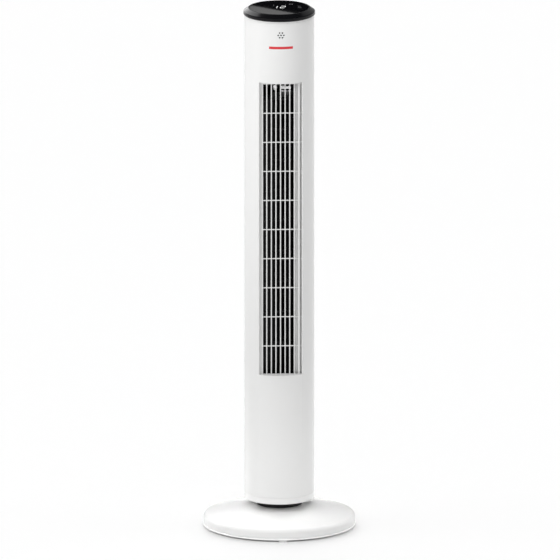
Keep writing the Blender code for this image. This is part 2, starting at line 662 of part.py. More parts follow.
# ------------------------------------------------------------------ impeller and fan motor
def make_impeller(looks, spin):
    step = math.tau / BLADES
    blade_width = math.radians(3.5)
    angles = []
    for number in range(BLADES):
        angles += [number * step, number * step + blade_width]
    pitch = (IMPELLER_HIGH - IMPELLER_LOW) / IMPELLER_SEGMENTS
    disc_height = 0.003
    heights = [IMPELLER_LOW]
    for number in range(IMPELLER_SEGMENTS):
        heights += [IMPELLER_LOW + number * pitch + disc_height, IMPELLER_LOW + (number + 1) * pitch]
    heights.append(IMPELLER_HIGH + disc_height)

    def is_open(column, row):
        return column % 2 == 1 and row % 2 == 1

    drum = curved_grid(angles, heights, IMPELLER_R - BLADE_DEPTH, IMPELLER_R, is_open, BLADE_LEAN, True)
    add_piece("impeller", drum, looks["black"], spin)
    edge = IMPELLER_R - GAP
    bore = SHAFT_R + GAP
    hub_low, plate_low, plate_high = 0.3020, 0.3045, IMPELLER_LOW - GAP
    neck_r, hub_high = 0.010, 0.3220
    outline = [(bore, hub_low), (neck_r, hub_low), (neck_r, plate_low), (edge, plate_low),
               (edge, plate_high), (neck_r, plate_high), (neck_r, hub_high), (bore, hub_high)]
    hub = turned(outline, INNER)
    add_piece("impeller_hub", hub, looks["black"], spin)
    top = IMPELLER_HIGH + disc_height
    end = ring(END_PIN_R + GAP, IMPELLER_R - BLADE_DEPTH - 0.001, top - disc_height, top - GAP, INNER)
    add_piece("impeller_end_disc", end, looks["black"], spin)
    add_piece("end_pin", disc(END_PIN_R, 0.8420, 0.8570, SMALL), looks["steel"], spin)
    add_piece("motor_shaft", disc(SHAFT_R, 0.2240, 0.3200, SMALL), looks["steel"], spin)
    add_piece("motor_rotor", ring(SHAFT_R + GAP, 0.0214, 0.2340, 0.2740, INNER), looks["lamination"], spin)


def make_fan_motor(looks, tower):
    place = (IMPELLER_X, IMPELLER_Y, 0)
    wall = 0.0015
    shell_in = MOTOR_R - wall
    lower = turned([(MOTOR_R - 0.003, MOTOR_LOW), (MOTOR_R, MOTOR_LOW + 0.003), (MOTOR_R, MOTOR_SPLIT),
                    (shell_in, MOTOR_SPLIT), (shell_in, MOTOR_LOW + 0.004),
                    (shell_in - 0.002, MOTOR_LOW + wall), (0.006, MOTOR_LOW + wall),
                    (0.006, MOTOR_LOW)], INNER)
    add_piece("motor_can_lower", lower, looks["steel"], tower, place)
    seam = MOTOR_SPLIT + GAP
    upper = turned([(MOTOR_R, seam), (MOTOR_R, MOTOR_HIGH - 0.003), (MOTOR_R - 0.003, MOTOR_HIGH),
                    (0.008, MOTOR_HIGH), (0.008, MOTOR_HIGH - wall), (shell_in - 0.002, MOTOR_HIGH - wall),
                    (shell_in, MOTOR_HIGH - 0.004), (shell_in, seam)], INNER)
    add_piece("motor_can_upper", upper, looks["steel"], tower, place)
    add_piece("motor_stator", ring(0.0220, 0.0348, 0.2320, 0.2760, INNER), looks["lamination"], tower, place)
    for number, (x, y) in enumerate(on_circle(3, 0.027), 1):
        mount = disc(0.005, MOTOR_HIGH + GAP, DUCT_FLOOR - GAP, SMALL)
        spot = (IMPELLER_X + x, IMPELLER_Y + y, 0)
        add_piece(f"motor_mount_{number}", mount, looks["rubber"], tower, spot)
    case = box((-0.017, 0.044, 0.160), (0.017, 0.058, 0.190))
    add_piece("run_capacitor", case, looks["shell"], tower)


# ------------------------------------------------------------------ the head of the tower
def make_head(looks, tower):
    trim_in = 0.060
    skirt_r = TOWER_R - TOWER_WALL - GAP
    trim_low = SHELL_TOP + GAP
    trim = turned([(TOWER_R, trim_low), (TOWER_R, TRIM_TOP), (trim_in, TRIM_TOP),
                   (trim_in, TRIM_SKIRT_LOW), (skirt_r, TRIM_SKIRT_LOW), (skirt_r, trim_low)])
    add_piece("trim_ring", trim, looks["white"], tower)
    low = TRIM_TOP + GAP
    inner_r = PANEL_R + GAP
    seat_z, under_z = CAP_TOP - 0.0034, CAP_TOP - 0.0059
    cap = [(CAP_R - 0.0014, low), (CAP_R - 0.0002, low + 0.0007), (CAP_R, low + 0.0018),
           (CAP_R - 0.0005, low + 0.0062), (CAP_R - 0.0016, low + 0.0076),
           (inner_r + 0.0021, CAP_TOP - 0.0003), (inner_r + 0.0013, CAP_TOP), (inner_r, CAP_TOP),
           (inner_r, seat_z), (0.0500, seat_z), (0.0500, under_z), (0.0610, under_z), (0.0620, low)]
    add_piece("top_cap", turned(cap), looks["black"], tower)
    panel = disc(PANEL_R, seat_z + GAP, CAP_TOP - 0.0002)
    add_piece("touch_panel", panel, looks["gloss"], tower)
    module = box((-0.012, -0.009, 1.0140), (0.020, 0.019, 1.0218))
    add_piece("display_module", module, looks["white"], tower)
    add_piece("control_board", disc(0.052, 1.0040, 1.0056, INNER), looks["board"], tower)
    buzzer = tilted(disc(0.0095, 0.0, 0.0040, 24), Matrix.Rotation(-math.pi / 2, 4, "X"))
    add_piece("buzzer", moved(buzzer, y=-0.0637, z=SPEAKER_Z), looks["black"], tower)


# ------------------------------------------------------------------ the whole fan
def clear_scene():
    for old in list(bpy.data.objects):
        bpy.data.objects.remove(old, do_unlink=True)


def main():
    clear_scene()
    looks = make_materials()
    base = axis_empty("base_frame")
    tower = axis_empty("tower_axis", base)
    spin = axis_empty("impeller_axis", tower, (IMPELLER_X, IMPELLER_Y, 0))
    crank = axis_empty("crank_axis", tower, (0, CRANK_OFFSET, 0))
    make_base_cover(looks, base)
    make_base_inside(looks, base)
    make_neck(looks, base)
    make_slotted_arm(looks, base)
    make_bottom_cap(looks, tower)
    make_swing_drive(looks, tower, crank)
    make_front_shell(looks, tower)
    make_rear_shell(looks, tower)
    make_grip_shell(looks, tower)
    make_grip_cup(looks, tower)
    make_grille(looks, tower)
    make_duct(looks, tower)
    make_upper_bearing(looks, tower)
    make_impeller(looks, spin)
    make_fan_motor(looks, tower)
    make_head(looks, tower)


main()
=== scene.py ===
"""Looks of the tower fan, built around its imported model.

Lengths are in metres in the model's own frame: the base stands on z = 0 and the outlet faces -Y.
"""
import json
import math

import bmesh
import bpy
from mathutils import Matrix, Vector


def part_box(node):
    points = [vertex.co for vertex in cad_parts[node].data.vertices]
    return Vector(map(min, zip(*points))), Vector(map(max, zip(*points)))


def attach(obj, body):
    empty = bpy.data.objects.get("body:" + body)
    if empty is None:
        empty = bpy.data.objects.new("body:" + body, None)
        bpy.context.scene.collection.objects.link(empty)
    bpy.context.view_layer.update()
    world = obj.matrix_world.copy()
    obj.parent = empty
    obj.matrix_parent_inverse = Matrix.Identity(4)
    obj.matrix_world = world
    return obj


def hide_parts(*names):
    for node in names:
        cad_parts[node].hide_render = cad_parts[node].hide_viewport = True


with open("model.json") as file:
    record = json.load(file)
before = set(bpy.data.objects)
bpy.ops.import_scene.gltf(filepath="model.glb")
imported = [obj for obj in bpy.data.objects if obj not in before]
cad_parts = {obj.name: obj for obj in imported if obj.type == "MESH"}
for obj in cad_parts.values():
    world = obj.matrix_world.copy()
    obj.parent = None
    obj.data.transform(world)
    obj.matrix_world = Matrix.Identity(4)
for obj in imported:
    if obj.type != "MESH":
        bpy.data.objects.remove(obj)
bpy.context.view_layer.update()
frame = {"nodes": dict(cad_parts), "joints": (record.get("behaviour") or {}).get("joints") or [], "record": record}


# ------------------------------------------------------------------ sizes read from the model
def top_of(node):
    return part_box(node)[1].z


def bottom_of(node):
    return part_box(node)[0].z


def radius_of(node):
    """Radius of a round piece centred on the tower's axis."""
    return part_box(node)[1].x


def centre_of(node):
    low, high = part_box(node)
    return (low + high) / 2


JOINTS = {joint["name"]: joint for joint in frame["joints"]}
IMPELLER_X, IMPELLER_Y = JOINTS["impeller_spin"]["pos_m"][:2]
BASE_R = radius_of("base_plate")
BASE_TOP = top_of("base_cover")
TOWER_R = radius_of("trim_ring")
TOWER_WALL = 0.0025
SHELL_LOW = bottom_of("front_shell")
SHELL_TOP = top_of("front_shell")
SEAM_ANGLE = math.radians(95)      # from the middle of the front to the edge of the front shell
SEAM_GAP = 0.00015                 # half the gap between the front and the rear shell
OUTLET_ANGLE = math.radians(38.5)  # half of the outlet opening
OUTLET_LOW, OUTLET_HIGH = 0.3102, 0.8897  # ends of that opening
GRILLE_FRONT = -0.0475             # front of the flat grille
GRILLE_FRAME = 0.0420              # half width inside its frame
PANEL_TOP = top_of("touch_panel")
CAP_TOP = top_of("top_cap")
CAP_R = radius_of("top_cap")
CAP_LOW = bottom_of("top_cap")
PANEL_R = radius_of("touch_panel")
SPEAKER = centre_of("buzzer")

FIT = 0.0003                       # room between pieces that sit in each other
PRINT_LIFT = 0.00002               # gap between the panel and the marks on it
PRINT_THICK = 0.0001

FINE = 192                         # sides of the large round pieces
SMALL = 48                         # sides of the small ones
TINY = 1e-6                        # anything shorter counts as nothing
COAT_ROUGHNESS = 0.08
GRAIN_HEIGHT = 0.0004


# ------------------------------------------------------------------ materials
def surface(name, colour, roughness, metallic=0.0, grain=900.0, depth=0.03, vary=0.02, blotch=30.0,
            coat=0.0, specular=0.5, gloss_drift=0.04):
    """A procedural finish: fine grain as bump, a slow drift of shade and a slow drift of gloss."""
    made = bpy.data.materials.new(name)
    made.use_nodes = True
    tree = made.node_tree
    shader = tree.nodes["Principled BSDF"]
    shader.inputs["Metallic"].default_value = metallic
    shader.inputs["Coat Weight"].default_value = coat
    shader.inputs["Coat Roughness"].default_value = COAT_ROUGHNESS
    shader.inputs["Specular IOR Level"].default_value = specular
    place = tree.nodes.new("ShaderNodeTexCoord")
    drift = noise(tree, place, blotch, 3.0)
    shade = tree.nodes.new("ShaderNodeMix")
    shade.data_type = "RGBA"
    shade.inputs[6].default_value = (*[c * (1.0 - vary) for c in colour], 1.0)
    shade.inputs[7].default_value = (*[min(c * (1.0 + vary), 1.0) for c in colour], 1.0)
    tree.links.new(drift.outputs["Fac"], shade.inputs[0])
    tree.links.new(shade.outputs[2], shader.inputs["Base Color"])
    gloss = tree.nodes.new("ShaderNodeMapRange")
    gloss.inputs["To Min"].default_value = max(roughness - gloss_drift, 0.01)
    gloss.inputs["To Max"].default_value = roughness + gloss_drift
    tree.links.new(drift.outputs["Fac"], gloss.inputs["Value"])
    tree.links.new(gloss.outputs["Result"], shader.inputs["Roughness"])
    fine = noise(tree, place, grain, 2.0)
    bump = tree.nodes.new("ShaderNodeBump")
    bump.inputs["Strength"].default_value = depth
    bump.inputs["Distance"].default_value = GRAIN_HEIGHT
    tree.links.new(fine.outputs["Fac"], bump.inputs["Height"])
    tree.links.new(bump.outputs["Normal"], shader.inputs["Normal"])
    return made


def noise(tree, place, scale, detail):
    made = tree.nodes.new("ShaderNodeTexNoise")
    made.inputs["Scale"].default_value = scale
    made.inputs["Detail"].default_value = detail
    tree.links.new(place.outputs["Object"], made.inputs["Vector"])
    return made


def glowing(name, colour, strength):
    """A lit segment behind the panel: slightly uneven light."""
    made = surface(name, colour, 0.3)
    tree = made.node_tree
    shader = tree.nodes["Principled BSDF"]
    shader.inputs["Emission Strength"].default_value = strength
    place = tree.nodes.new("ShaderNodeTexCoord")
    drift = noise(tree, place, 700.0, 1.0)
    shade = tree.nodes.new("ShaderNodeMix")
    shade.data_type = "RGBA"
    shade.inputs[6].default_value = (*[c * 0.85 for c in colour], 1.0)
    shade.inputs[7].default_value = (*colour, 1.0)
    tree.links.new(drift.outputs["Fac"], shade.inputs[0])
    tree.links.new(shade.outputs[2], shader.inputs["Emission Color"])
    return made


LOOKS = {
    "white_plastic": surface("white_satin", (0.74, 0.74, 0.735), 0.34, depth=0.025, vary=0.008, coat=0.5),
    "black_plastic": surface("black_satin", (0.005, 0.005, 0.0055), 0.5, depth=0.06, vary=0.15,
                             specular=0.3),
    "gloss_black": surface("black_panel", (0.004, 0.004, 0.005), 0.02, grain=300.0, depth=0.0, vary=0.1,
                           gloss_drift=0.005),
    "rubber": surface("soft_rubber", (0.022, 0.022, 0.022), 0.75, grain=1500.0, depth=0.25, vary=0.2),
    "white_rubber": surface("white_rubber", (0.70, 0.70, 0.69), 0.6, grain=1500.0, depth=0.15, vary=0.03),
    "steel": surface("zinc_steel", (0.60, 0.60, 0.61), 0.32, 1.0, grain=1400.0, depth=0.08, vary=0.06),
    "lamination": surface("lamination_stack", (0.25, 0.25, 0.27), 0.5, 1.0, grain=2200.0, depth=0.3,
                          vary=0.1),
    "acetal": surface("natural_acetal", (0.68, 0.67, 0.63), 0.4, depth=0.05, vary=0.03),
    "bronze": surface("sintered_bronze", (0.45, 0.28, 0.12), 0.4, 1.0, grain=2600.0, depth=0.2, vary=0.12),
    "board": surface("green_board", (0.02, 0.13, 0.05), 0.4, grain=500.0, depth=0.15, vary=0.25),
    "capacitor_case": surface("capacitor_case", (0.09, 0.10, 0.12), 0.35, depth=0.05, vary=0.08),
}
CAP_GLOSS = surface("cap_gloss", (0.004, 0.004, 0.005), 0.2, grain=1200.0, depth=0.01, vary=0.1,
                    specular=0.25)
BADGE_RED = surface("badge_red", (0.62, 0.02, 0.03), 0.3, depth=0.02, vary=0.04, coat=0.3)
DIGIT_GLOW = glowing("digit_glow", (1.0, 1.0, 1.0), 0.6)
# a lighter white than the white plastic: painted highlight on the base plate's lip
LIP_HIGHLIGHT_WHITE = surface("lip_painted_highlight", (0.92, 0.92, 0.915), 0.35, depth=0.025, vary=0.008)
RETAINER_WHITE = surface("retainer_white", (0.80, 0.80, 0.80), 0.4, depth=0.03, vary=0.01)
ICON_PRINT = surface("icon_print", (0.16, 0.16, 0.165), 0.4, vary=0.1)


# ------------------------------------------------------------------ building blocks
def new_piece(name, mesh_bm, look, body, replaces=(), sharp=32.0):
    """Turn a bmesh into a shown piece that rides on a body."""
    bmesh.ops.recalc_face_normals(mesh_bm, faces=mesh_bm.faces)
    mesh = bpy.data.meshes.new(name)
    mesh_bm.to_mesh(mesh)
    mesh_bm.free()
    mesh.materials.append(look)
    mesh.shade_smooth()
    mesh.set_sharp_from_angle(angle=math.radians(sharp))
    piece = bpy.data.objects.new(name, mesh)
    bpy.context.scene.collection.objects.link(piece)
    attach(piece, body)
    if replaces:
        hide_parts(*replaces)
    return piece


def turned(outline, sides=FINE):
    """Turn an outline of (radius, height) points about the upright axis."""
    made = bmesh.new()
    verts = [made.verts.new((r, 0.0, z)) for r, z in outline]
    pairs = zip(verts, verts[1:] + verts[:1])
    edges = [made.edges.new((a, b)) for a, b in pairs if a.co.x > TINY or b.co.x > TINY]
    bmesh.ops.spin(made, geom=verts + edges, cent=(0, 0, 0), axis=(0, 0, 1),
                   angle=math.tau, steps=sides, use_merge=True)
    bmesh.ops.remove_doubles(made, verts=made.verts, dist=TINY)
    return made


def eased(corners, steps=4, hold=0.0):
    """An outline from (radius, height, rounding) corners, with each rounded corner as an arc.

    With hold above 0, points that far from an arc keep the flats next to it flat in the shading.
    """
    points = []
    count = len(corners)
    for i, (x, y, rounding) in enumerate(corners):
        here = Vector((x, y))
        if rounding <= 0.0:
            points.append((x, y))
            continue
        before = Vector(corners[i - 1][:2]) - here
        after = Vector(corners[(i + 1) % count][:2]) - here
        half = before.angle(after) / 2
        reach = rounding / math.tan(half)
        start = here + before.normalized() * reach
        stop = here + after.normalized() * reach
        centre = here + (before.normalized() + after.normalized()).normalized() * (rounding / math.sin(half))
        first = (start - centre).to_tuple()
        sweep = (start - centre).angle_signed(stop - centre)
        if hold > 0.0:
            points.append((start + before.normalized() * hold).to_tuple())
        for step in range(steps + 1):
            turn = -sweep * step / steps
            points.append((centre.x + first[0] * math.cos(turn) - first[1] * math.sin(turn),
                           centre.y + first[0] * math.sin(turn) + first[1] * math.cos(turn)))
        if hold > 0.0:
            points.append((stop + after.normalized() * hold).to_tuple())
    return points


def cells(marks, heights, layers, place, is_solid, closed=False):
    """A body made of cells; is_solid(column, row, layer) tells which of them are filled.

    place(mark, height, layer) gives the position of a cell's corner.
    """
    made = bmesh.new()
    columns = len(marks) if closed else len(marks) - 1
    rows, depths = len(heights) - 1, len(layers) - 1
    verts = {}

    def vert(i, j, k):
        i %= len(marks)
        if (i, j, k) not in verts:
            verts[i, j, k] = made.verts.new(place(marks[i], heights[j], layers[k]))
        return verts[i, j, k]

    def solid(i, j, k):
        if closed:
            i %= columns
        return 0 <= i < columns and 0 <= j < rows and 0 <= k < depths and is_solid(i, j, k)

    faces = (((-1, 0, 0), ((0, 0, 0), (0, 0, 1), (0, 1, 1), (0, 1, 0))),
             ((1, 0, 0), ((1, 0, 0), (1, 1, 0), (1, 1, 1), (1, 0, 1))),
             ((0, -1, 0), ((0, 0, 0), (1, 0, 0), (1, 0, 1), (0, 0, 1))),
             ((0, 1, 0), ((0, 1, 0), (0, 1, 1), (1, 1, 1), (1, 1, 0))),
             ((0, 0, -1), ((0, 0, 0), (0, 1, 0), (1, 1, 0), (1, 0, 0))),
             ((0, 0, 1), ((0, 0, 1), (1, 0, 1), (1, 1, 1), (0, 1, 1))))
    for i in range(columns):
        for j in range(rows):
            for k in range(depths):
                if not solid(i, j, k):
                    continue
                for (di, dj, dk), corners in faces:
                    if not solid(i + di, j + dj, k + dk):
                        made.faces.new([vert(i + a, j + b, k + c) for a, b, c in corners])
    return made


def round_about(angle, height, radius):
    """A place on a cylinder about the tower's axis; angles run from the front (-Y) towards +X."""
    return (radius * math.sin(angle), -radius * math.cos(angle), height)


def cell_wall(angles, heights, radii, is_solid):
    """A cylindrical wall made of cells, its layers going outwards."""
    return cells(angles, heights, radii, round_about, is_solid)


def extruded(outline, low, high):
    """Extrude a closed outline of (x, y) points between two heights."""
    made = bmesh.new()
    face = made.faces.new([made.verts.new((x, y, low)) for x, y in outline])
    top = bmesh.ops.extrude_face_region(made, geom=[face])
    raised = [item for item in top["geom"] if isinstance(item, bmesh.types.BMVert)]
    bmesh.ops.translate(made, verts=raised, vec=(0, 0, high - low))
    return made


def box_between(left, right, front, back, low, high):
    """An upright box, from its faces' places."""
    return extruded([(left, front), (right, front), (right, back), (left, back)], low, high)


def spread(low, high, parts):
    """Evenly spaced marks from low to high."""
    return [low + (high - low) * i / parts for i in range(parts + 1)]


def steps_between(marks, widest):
    """Marks with even steps put between them, none wider than widest."""
    values = [marks[0]]
    for low, high in zip(marks, marks[1:]):
        values += spread(low, high, max(1, math.ceil((high - low) / widest - TINY)))[1:]
    return values


def soften(piece, width, segments=2, angle=40.0):
    """Round a piece's sharp edges."""
    step = piece.modifiers.new("soften", "BEVEL")
    step.width = width
    step.segments = segments
    step.limit_method = "ANGLE"
    step.angle_limit = math.radians(angle)
    step.harden_normals = False
    return piece


def fix_shape(piece, sharp=32.0):
    """Make a piece's modifiers part of its mesh."""
    evaluated = piece.evaluated_get(bpy.context.evaluated_depsgraph_get())
    mesh = bpy.data.meshes.new_from_object(evaluated)
    piece.modifiers.clear()
    piece.data = mesh
    mesh.shade_smooth()
    mesh.set_sharp_from_angle(angle=math.radians(sharp))
    return piece


def cut_with(piece, tool_bm):
    """Cut a bmesh out of a piece."""
    bmesh.ops.recalc_face_normals(tool_bm, faces=tool_bm.faces)
    mesh = bpy.data.meshes.new("tool")
    tool_bm.to_mesh(mesh)
    tool_bm.free()
    tool = bpy.data.objects.new("tool", mesh)
    bpy.context.scene.collection.objects.link(tool)
    step = piece.modifiers.new("cut", "BOOLEAN")
    step.object = tool
    step.solver = "EXACT"
    bpy.context.view_layer.update()
    fix_shape(piece)
    bpy.data.objects.remove(tool)
    return piece


def along_y(mesh_bm):
    """Lay an upright bmesh down so that its top points to +Y."""
    laid = Matrix.Rotation(-math.pi / 2, 3, "X")
    bmesh.ops.rotate(mesh_bm, cent=(0, 0, 0), matrix=laid, verts=mesh_bm.verts)
    return mesh_bm


def moved(mesh_bm, x=0.0, y=0.0, z=0.0):
    bmesh.ops.translate(mesh_bm, verts=mesh_bm.verts, vec=(x, y, z))
    return mesh_bm


def joined(parts):
    made = bmesh.new()
    for part in parts:
        mesh = bpy.data.meshes.new("part")
        part.to_mesh(mesh)
        part.free()
        made.from_mesh(mesh)
        bpy.data.meshes.remove(mesh)
    return made


def disc(radius, low, high, sides=SMALL):
    return turned([(0, low), (radius, low), (radius, high), (0, high)], sides)


# ------------------------------------------------------------------ the base
def make_base():
    """The cover with its hole for the cord gland, and the plate whose edge shows as a thin lip, in a lighter white
    than the cover that paints the highlight along the lip.
    """
    low = bottom_of("base_cover")
    cover_r = radius_of("base_cover")
    slope_low = 0.0234
    bend_r, bend_drop = 0.088, 0.0064
    hub_r, hole_r = 0.045, 0.030
    wall = 0.003
    cover = eased([
        (cover_r, low, 0.0002), (cover_r, slope_low, 0.009), (bend_r, BASE_TOP - bend_drop, 0.30),
        (hub_r, BASE_TOP, 0.002), (hole_r, BASE_TOP, 0.0), (hole_r, BASE_TOP - wall, 0.0),
        (hub_r, BASE_TOP - wall, 0.0), (cover_r - wall, slope_low - wall, 0.006),
        (cover_r - wall, low, 0.0)], 8)
    piece = new_piece("base_cover_skin", turned(cover), LOOKS["white_plastic"], "base",
                      ["base_cover"])
    gland_r, gland_reach = 0.0045, 0.006
    gland_hole = along_y(disc(gland_r, -gland_reach, gland_reach))
    cut_with(piece, moved(gland_hole, y=cover_r, z=centre_of("cord_gland").z))
    low, high = bottom_of("base_plate"), top_of("base_plate")
    bore = 0.010
    plate = eased([(bore, low, 0.0), (BASE_R - 0.0006, low, 0.0008), (BASE_R, low + 0.0012, 0.0012),
                   (BASE_R - 0.0002, high, 0.0010), (bore, high, 0.0)], 4)
    # the plate's lighter white paints the highlight along the lip
    lip = new_piece("base_plate_skin", turned(plate), LIP_HIGHLIGHT_WHITE, "base", ["base_plate"])
    return [piece, lip]


def make_feet():
    """Rubber feet with a shallow hollow under each."""
    hollow = 0.0006
    for number in range(1, 6):
        node = f"foot_{number}"
        place = centre_of(node)
        radius = (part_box(node)[1].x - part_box(node)[0].x) / 2
        top = top_of(node)
        outline = eased([(0, hollow, 0.0), (radius * 0.55, hollow, 0.0), (radius * 0.62, 0.0, 0.0003),
                         (radius - 0.0008, 0.0, 0.0006), (radius, top * 0.5, 0.0006), (radius, top, 0.0002),
                         (0, top, 0.0)], 3)
        pad = moved(turned(outline, SMALL), place.x, place.y)
        new_piece(f"foot_pad_{number}", pad, LOOKS["white_rubber"], "base", [node])


def make_neck():
    low, high = bottom_of("neck_collar"), top_of("neck_collar")
    radius = radius_of("neck_collar")
    inner = 0.0223
    wall = 0.003
    outline = eased([(radius, low, 0.0004), (radius, high, 0.0008), (inner, high, 0.0),
                     (inner, high - wall, 0.0), (radius - wall, high - wall, 0.001),
                     (radius - wall, low, 0.0)], 4)
    new_piece("neck_collar_skin", turned(outline), LOOKS["black_plastic"], "base",
              ["neck_collar"])


# ------------------------------------------------------------------ the tower's outside
def make_bottom_cap():
    """The tower's foot: its upper edge meets the shells in a fine seam, its skirt goes up inside them."""
    seam = 0.0001
    low, top = bottom_of("bottom_cap"), SHELL_LOW - seam
    hole_r = 0.034
    floor_top = low + 0.003
    skirt, skirt_top = TOWER_R - TOWER_WALL - FIT, 0.072
    outline = eased([
        (hole_r, low, 0.0), (TOWER_R - 0.0004, low, 0.0012), (TOWER_R, low + 0.0030, 0.004),
        (TOWER_R, top, 0.0004), (skirt, top, 0.0), (skirt, skirt_top, 0.0),
        (skirt - TOWER_WALL, skirt_top, 0.0), (skirt - TOWER_WALL, floor_top, 0.001),
        (hole_r, floor_top, 0.0)], 5)
    new_piece("bottom_cap_skin", turned(outline), LOOKS["white_plastic"], "tower",
              ["bottom_cap"])


def make_front_shell():
    """The front with its outlet opening, and seven holes in front of a dark gauze for the speaker."""
    edge = SEAM_ANGLE - SEAM_GAP / TOWER_R
    angles = steps_between([-edge, -OUTLET_ANGLE, OUTLET_ANGLE, edge], math.radians(2.0))
    around = 0.009
    heights = [SHELL_LOW, OUTLET_LOW, OUTLET_HIGH, SPEAKER.z - around, SPEAKER.z + around, SHELL_TOP]

    def is_solid(i, j, k):
        middle = (angles[i] + angles[i + 1]) / 2
        return not (j == 1 and abs(middle) < OUTLET_ANGLE)

    wall = cell_wall(angles, heights, [TOWER_R - TOWER_WALL, TOWER_R], is_solid)
    piece = new_piece("front_shell_skin", wall, LOOKS["white_plastic"], "tower",
                      ["front_shell"])
    fix_shape(soften(piece, 0.0005, 3))
    pitch, hole_r, drill, ahead = 0.0054, 0.0016, 0.012, 0.004
    places = [(0.0, 0.0)]
    for number in range(6):
        turn = math.tau * number / 6
        places.append((pitch * math.cos(turn), pitch * math.sin(turn)))
    holes = []
    for x, z in places:
        hole = along_y(disc(hole_r, 0.0, drill, 24))
        holes.append(moved(hole, x, -TOWER_R - ahead, SPEAKER.z + z))
    cut_with(piece, joined(holes))
    gauze_r, gauze_thick, gauze_front = 0.0085, 0.0008, -0.0634
    gauze = moved(along_y(disc(gauze_r, 0.0, gauze_thick)), 0.0, gauze_front, SPEAKER.z)
    new_piece("speaker_gauze", gauze, LOOKS["black_plastic"], "tower")


def make_rear_shell():
    """The back with its rows of intake slots."""
    edge = SEAM_ANGLE + SEAM_GAP / TOWER_R
    slots, pitch, width = 13, math.radians(9.5), math.radians(5.0)
    half = slots // 2
    marks = [edge]
    for number in range(-half, half + 1):
        marks += [math.pi + number * pitch - width / 2, math.pi + number * pitch + width / 2]
    marks.append(math.tau - edge)
    angles = steps_between(marks, math.radians(2.6))
    rows = 10
    rib = 0.006
    row_height = (OUTLET_HIGH - OUTLET_LOW) / rows
    heights = [SHELL_LOW]
    for row in range(rows):
        low = OUTLET_LOW + row * row_height
        heights += [low + rib / 2, low + row_height - rib / 2]
    heights.append(top_of("rear_shell"))

    def is_solid(i, j, k):
        middle = (angles[i] + angles[i + 1]) / 2 - math.pi
        nearest = round(middle / pitch)
        in_slot = abs(nearest) <= half and abs(middle - nearest * pitch) < width / 2
        return not (j % 2 == 1 and in_slot)

    wall = cell_wall(angles, heights, [TOWER_R - TOWER_WALL, TOWER_R], is_solid)
    piece = new_piece("rear_shell_skin", wall, LOOKS["white_plastic"], "tower",
                      ["rear_shell"])
    fix_shape(soften(piece, 0.0005, 2))
    cut_with(piece, screw_holes((1, 2)))


def make_grip():
    """The upper end of the back, and the pocket for the fingers behind its opening."""
    edge = SEAM_ANGLE + SEAM_GAP / TOWER_R
    reach = math.radians(35)
    low, high = bottom_of("grip_cup") + TOWER_WALL, top_of("grip_cup") - TOWER_WALL
    angles = steps_between([edge, math.pi - reach, math.pi + reach, math.tau - edge], math.radians(2.0))
    heights = [bottom_of("grip_shell"), low, high, SHELL_TOP]

    def is_solid(i, j, k):
        middle = (angles[i] + angles[i + 1]) / 2 - math.pi
        return not (j == 1 and abs(middle) < reach)

    wall = cell_wall(angles, heights, [TOWER_R - TOWER_WALL, TOWER_R], is_solid)
    piece = new_piece("grip_shell_skin", wall, LOOKS["white_plastic"], "tower",
                      ["grip_shell"])
    fix_shape(soften(piece, 0.0008, 3))
    cut_with(piece, screw_holes((3, 4)))
    side = math.radians(2.5)
    outer = reach + side
    cup_marks = [math.pi - outer, math.pi - reach, math.pi + reach, math.pi + outer]
    cup_angles = steps_between(cup_marks, side)
    cup_heights = [low - TOWER_WALL, low, high, high + TOWER_WALL]
    cup_back = 0.044
    cup_radii = [cup_back, cup_back + TOWER_WALL, TOWER_R - TOWER_WALL - FIT]

    def cup_solid(i, j, k):
        middle = (cup_angles[i] + cup_angles[i + 1]) / 2 - math.pi
        return not (j == 1 and k == 1 and abs(middle) < reach)

    cup = new_piece("grip_cup_skin", cell_wall(cup_angles, cup_heights, cup_radii, cup_solid),
                    LOOKS["white_plastic"], "tower", ["grip_cup"])
    soften(cup, 0.0008, 3)


def screw_aim(number):
    """Angle of a shell screw about the tower's axis, from +X towards +Y."""
    place = centre_of(f"shell_screw_{number}")
    return math.atan2(place.y, place.x)


def outward(mesh_bm, number):
    """Turn an upright bmesh so that its top points outwards along a shell screw's axis."""
    turn = Matrix.Rotation(screw_aim(number), 4, "Z") @ Matrix.Rotation(math.pi / 2, 4, "Y")
    bmesh.ops.transform(mesh_bm, matrix=turn, verts=mesh_bm.verts)
    return moved(mesh_bm, z=centre_of(f"shell_screw_{number}").z)


def screw_holes(numbers):
    """Holes for the heads of some shell screws, reaching right through the wall."""
    radius, inside, outside = 0.0034, 0.060, 0.072
    return joined([outward(disc(radius, inside, outside), number) for number in numbers])


def make_shell_screws():
    """Round-headed screws with a cross recess; their outlines run outwards from the tower's axis."""
    tip, seat, top = 0.0540, 0.0640, 0.0664
    shank_r, head_r = 0.0015, 0.0030
    recess = (0.0034, 0.0007, 0.0026, 1.0)
    for number in range(1, 5):
        outline = eased([(0, tip, 0.0), (shank_r - 0.0004, tip, 0.0), (shank_r, tip + 0.0012, 0.0),
                         (shank_r, seat, 0.0), (head_r, seat, 0.0003), (head_r, top - 0.0006, 0.0006),
                         (0.0016, top, 0.0008), (0, top, 0.0)], 4)
        screw = outward(turned(outline, SMALL), number)
        piece = new_piece(f"shell_screw_head_{number}", screw, LOOKS["steel"], "tower",
                          [f"shell_screw_{number}"])
        blades = []
        for turn in (0.0, math.pi / 2):
            blade = bmesh.new()
            bmesh.ops.create_cube(blade, size=1.0)
            shape = Matrix.Rotation(turn, 4, "Z") @ Matrix.Diagonal(recess)
            bmesh.ops.transform(blade, matrix=Matrix.Translation((0, 0, top)) @ shape, verts=blade.verts)
            blades.append(outward(blade, number))
        for blade in blades:
            cut_with(piece, blade)


